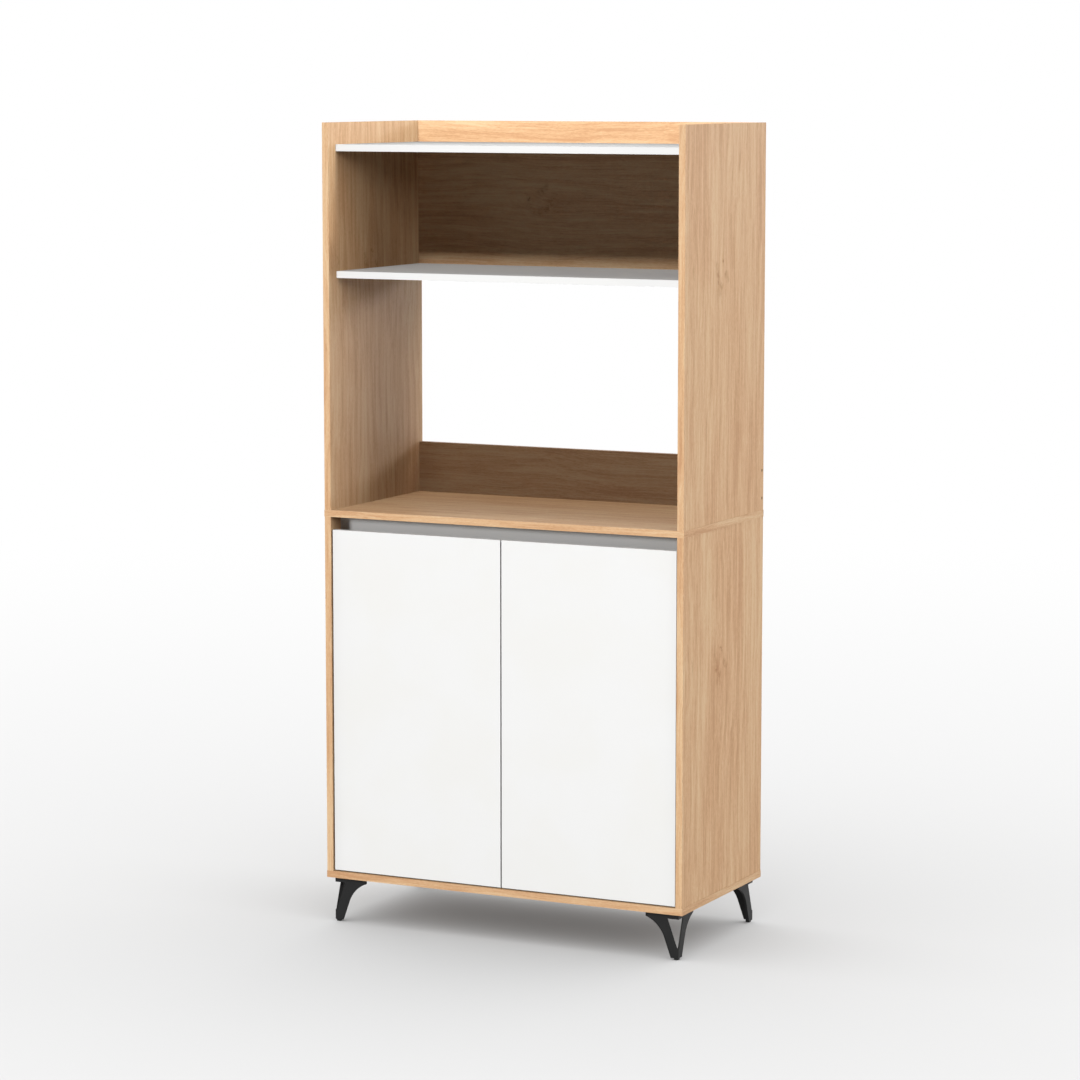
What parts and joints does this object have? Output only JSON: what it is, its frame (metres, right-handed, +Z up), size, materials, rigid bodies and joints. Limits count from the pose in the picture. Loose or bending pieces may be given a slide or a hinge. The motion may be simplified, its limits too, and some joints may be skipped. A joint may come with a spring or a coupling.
{
  "type": "microwave cabinet",
  "caption": "Tall free-standing kitchen cabinet with inset doors, an open oven niche, a shelf compartment and a lipped top on splayed legs.",
  "frame": {"origin": "on the floor, at the middle of the cabinet's width and depth", "axes": "+Z up, doors face -Y, +X to the right seen from the front"},
  "size_m": [0.872, 0.433, 1.785],
  "materials": {
    "wood_board": "satin wood-grain laminate",
    "white_board": "satin white laminate",
    "white_door": "smooth white laminate",
    "hardboard": "matt hardboard",
    "black_plastic": "fine moulded grain",
    "zinc_steel": "bright zinc",
    "dark_screw": "dark passivated",
    "cam_zinc": "cast zinc",
    "beech_dowel": "bare beech",
    "clear_pin_plastic": "natural plastic",
    "hinge_steel": "nickel-plated steel"
  },
  "bodies": {
    "carcass": {"bottom_panel": "wood_board", "lower_left_side": "wood_board", "lower_right_side": "wood_board", "counter_panel": "wood_board", "upper_left_side": "wood_board", "upper_right_side": "wood_board", "upper_back_panel": "wood_board", "niche_back_rail": "wood_board", "open_shelf": "white_board", "top_panel": "white_board", "grip_rail": "white_board", "inner_shelf": "white_board", "lower_back_panel": "hardboard", "front_left_leg": "black_plastic", "front_right_leg": "black_plastic", "back_left_leg": "black_plastic", "back_right_leg": "black_plastic", "body_screws": "zinc_steel", "leg_screws": "zinc_steel", "cam_bolts": "zinc_steel", "rail_screws": "dark_screw", "cam_locks": "cam_zinc", "wood_dowels": "beech_dowel", "shelf_pins": "clear_pin_plastic", "left_hinge_arms": "hinge_steel", "left_hinge_plates": "hinge_steel", "left_hinge_plate_screws": "hinge_steel", "left_arm_clamp_screws": "hinge_steel", "right_hinge_arms": "hinge_steel", "right_hinge_plates": "hinge_steel", "right_hinge_plate_screws": "hinge_steel", "right_arm_clamp_screws": "hinge_steel"},
    "left_door": {"left_door": "white_door", "left_hinge_cups": "hinge_steel", "left_hinge_pins": "hinge_steel", "left_cup_screws": "hinge_steel"},
    "right_door": {"right_door": "white_door", "right_hinge_cups": "hinge_steel", "right_hinge_pins": "hinge_steel", "right_cup_screws": "hinge_steel"}
  },
  "joints": [
    {"name": "left_door_swing", "type": "hinge", "parent": "carcass", "child": "left_door", "pos_m": [-0.40461, -0.2058, 0.117], "axis": [0, 0, -1], "range_deg": [0, 95]},
    {"name": "right_door_swing", "type": "hinge", "parent": "carcass", "child": "right_door", "pos_m": [0.40461, -0.2058, 0.117], "axis": [0, 0, 1], "range_deg": [0, 95]}
  ]
}
